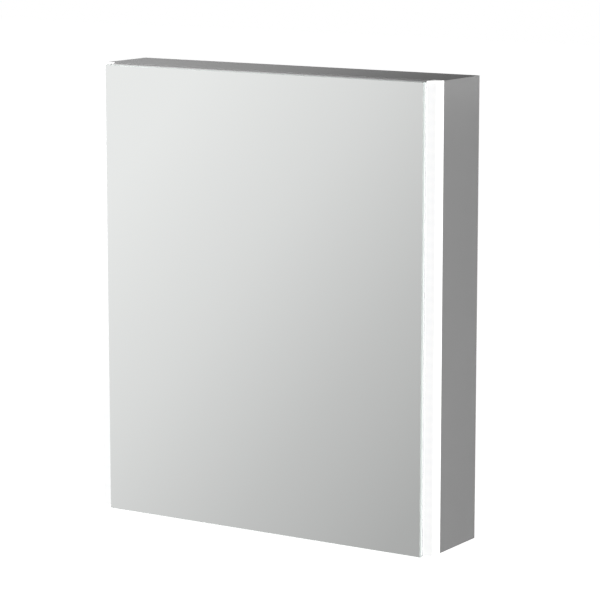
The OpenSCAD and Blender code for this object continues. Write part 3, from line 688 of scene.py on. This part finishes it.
# Name, place, the point it faces, width and height, and power of each lamp
LAMPS = [
    ("front", (0.6, -3.2, 0.4), (0, 0, -0.3), (1.6, 1.6), 80),
    ("right", (2.4, -0.6, -0.1), (0.3, 0, -0.3), (1.0, 1.0), 32.5),
    ("left", (-2.4, -0.6, -0.5), (-0.3, 0, -0.3), (1.0, 1.0), 32.5),
    ("rear", (-0.4, 3.0, -0.5), (0, 0, -0.3), (1.0, 1.0), 75),
    ("under", (0, 0, -1.45), (0, 0, -0.6), (0.8, 0.8), 4),
    ("over_the_top", (0.15, -0.95, 1.36), (-0.846, -0.902, 1.287), (0.2, 0.2), 82),
    ("right_shoulder", (0.35, -0.05, 0.06), (0.3, -0.05, 0.06), (0.3, 0.03), 0.019),
]


def make_floor():
    """A pale floor well below the cabinet, white to the camera, that still takes a soft shadow."""
    low = cad_box[0]
    deselect()
    bpy.ops.mesh.primitive_plane_add(size=FLOOR_SIZE, location=(0, 0, low[UPRIGHT] - FLOOR_DROP))
    floor = bpy.context.object
    floor.name = "floor"
    material, shader = new_material("pale_floor")
    tree = material.node_tree
    shader.inputs["Base Color"].default_value = FLOOR_COLOR
    shader.inputs["Roughness"].default_value = FLOOR_ROUGHNESS
    shader.inputs["Specular IOR Level"].default_value = 0.0
    shader.inputs["Emission Color"].default_value = WHITE
    glow = scaled_sum(tree, seen_directly(tree), FLOOR_GLOW, 0.0)
    link(material, glow, shader.inputs["Emission Strength"])
    floor.data.materials.append(material)
    floor.visible_glossy = False


def grey_sweep(tree):
    """A grey that changes with the direction in which it is seen, as a soft studio wall does."""
    coords = add_node(tree, "ShaderNodeTexCoord")
    sweep = add_node(tree, "ShaderNodeVectorMath", operation="DOT_PRODUCT")
    tree.links.new(coords.outputs["Generated"], sweep.inputs[0])
    sweep.inputs[1].default_value = SWEEP_AXIS
    ramp = add_node(tree, "ShaderNodeValToRGB")
    tree.links.new(scaled_sum(tree, sweep.outputs["Value"], 0.5, 0.5), ramp.inputs["Fac"])
    stops = ramp.color_ramp.elements
    while len(stops) < len(SWEEP):
        stops.new(0.5)
    for stop, (place, level) in zip(stops, SWEEP):
        stop.position = place
        stop.color = (level, level, level, 1)
    return ramp.outputs["Color"]


def make_world():
    """Even light on matt surfaces, white behind the cabinet, a soft grey sweep in the mirrors."""
    world = bpy.data.worlds.new("studio")
    bpy.context.scene.world = world
    world.use_nodes = True
    tree = world.node_tree
    links = tree.links
    path = add_node(tree, "ShaderNodeLightPath")
    plain = add_node(tree, "ShaderNodeMixRGB", Color1=(WORLD_LEVEL, WORLD_LEVEL, WORLD_LEVEL, 1))
    links.new(path.outputs["Is Glossy Ray"], plain.inputs["Fac"])
    links.new(grey_sweep(tree), plain.inputs["Color2"])
    white = add_node(tree, "ShaderNodeMixRGB", Color2=WHITE)
    links.new(seen_directly(tree), white.inputs["Fac"])
    links.new(plain.outputs[0], white.inputs["Color1"])
    links.new(white.outputs[0], tree.nodes["Background"].inputs["Color"])


def add_lamp(name, place, target, size, power):
    """A soft light, size wide and high, that neither the camera nor the mirrors see."""
    data = bpy.data.lights.new(name, "AREA")
    data.shape = "RECTANGLE"
    data.size, data.size_y = size
    data.energy = power
    lamp = bpy.data.objects.new(name, data)
    bpy.context.scene.collection.objects.link(lamp)
    lamp.location = place
    lamp.rotation_euler = (Vector(target) - Vector(place)).to_track_quat("-Z", "Y").to_euler()
    lamp.visible_glossy = False
    lamp.visible_camera = False


def make_lights():
    """A soft lamp for each side, so that it is lit at a plain level, and two that shade the top."""
    for lamp in LAMPS:
        add_lamp(*lamp)


make_camera()
make_panels()
# The front mirror's upright ends take the lighter colour that is painted light from the strips
make_mirror("front_mirror", FRONT, FRONT_ARRIS, end_material=painted_lit_edge)
make_mirror("rear_mirror", REAR, REAR_ARRIS, REAR_CORNER)
make_shelf("shelf_lower")
make_shelf("shelf_upper")
make_core()
make_small_parts()
make_diffuser("diffuser_left", RIGHT)
make_diffuser("diffuser_right", LEFT)
finish_kept_nodes()
make_floor()
make_world()
make_lights()

scene = bpy.context.scene
scene.view_settings.view_transform = "Standard"
